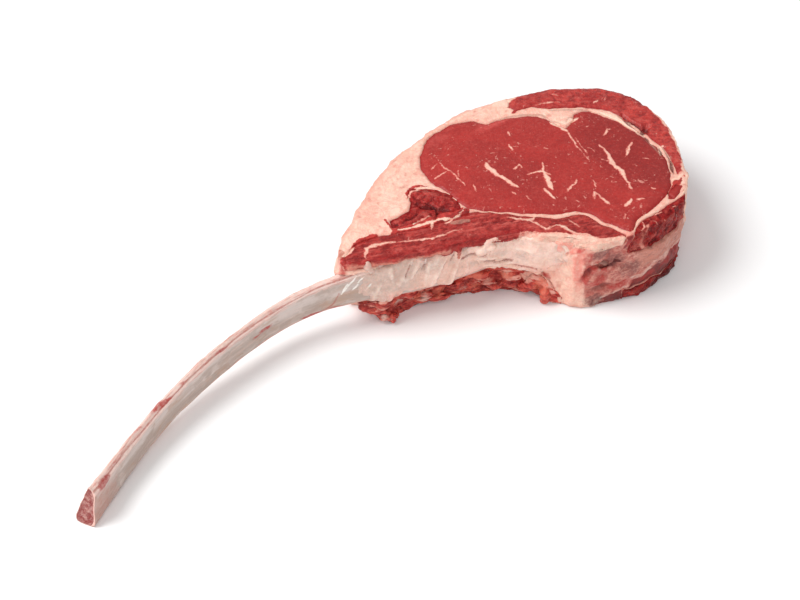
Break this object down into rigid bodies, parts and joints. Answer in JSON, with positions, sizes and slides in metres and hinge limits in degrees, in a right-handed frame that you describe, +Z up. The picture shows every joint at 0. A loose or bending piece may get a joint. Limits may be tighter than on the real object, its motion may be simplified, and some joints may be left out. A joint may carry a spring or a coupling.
{
  "type": "raw tomahawk steak",
  "caption": "Thick raw beef rib steak lying flat, with a marbled eye, a fat cap and the long curved rib bone left on as a handle.",
  "frame": {"origin": "on the underside, below the middle of the eye muscle", "axes": "+X along the steak from the bone's cut tip towards the meat, +Y towards the fat cap, +Z up through the slice's thickness"},
  "size_m": [0.391, 0.1352, 0.05],
  "materials": {
    "bone": "moist grey-pink bone with a scraped face",
    "fat": "cream-pink beef fat, soft sheen",
    "lean": "moist red lean beef with white marbling",
    "dark_lean": "moist dark red coarse beef"
  },
  "bodies": {
    "root": {"rib_bone": "bone", "fat": "fat", "eye_muscle": "lean", "cap_muscle": "lean", "rib_strip": "lean", "small_muscle": "lean", "lip_muscle": "dark_lean", "chine_muscle": "dark_lean", "intercostal_meat": "dark_lean"}
  },
  "joints": []
}
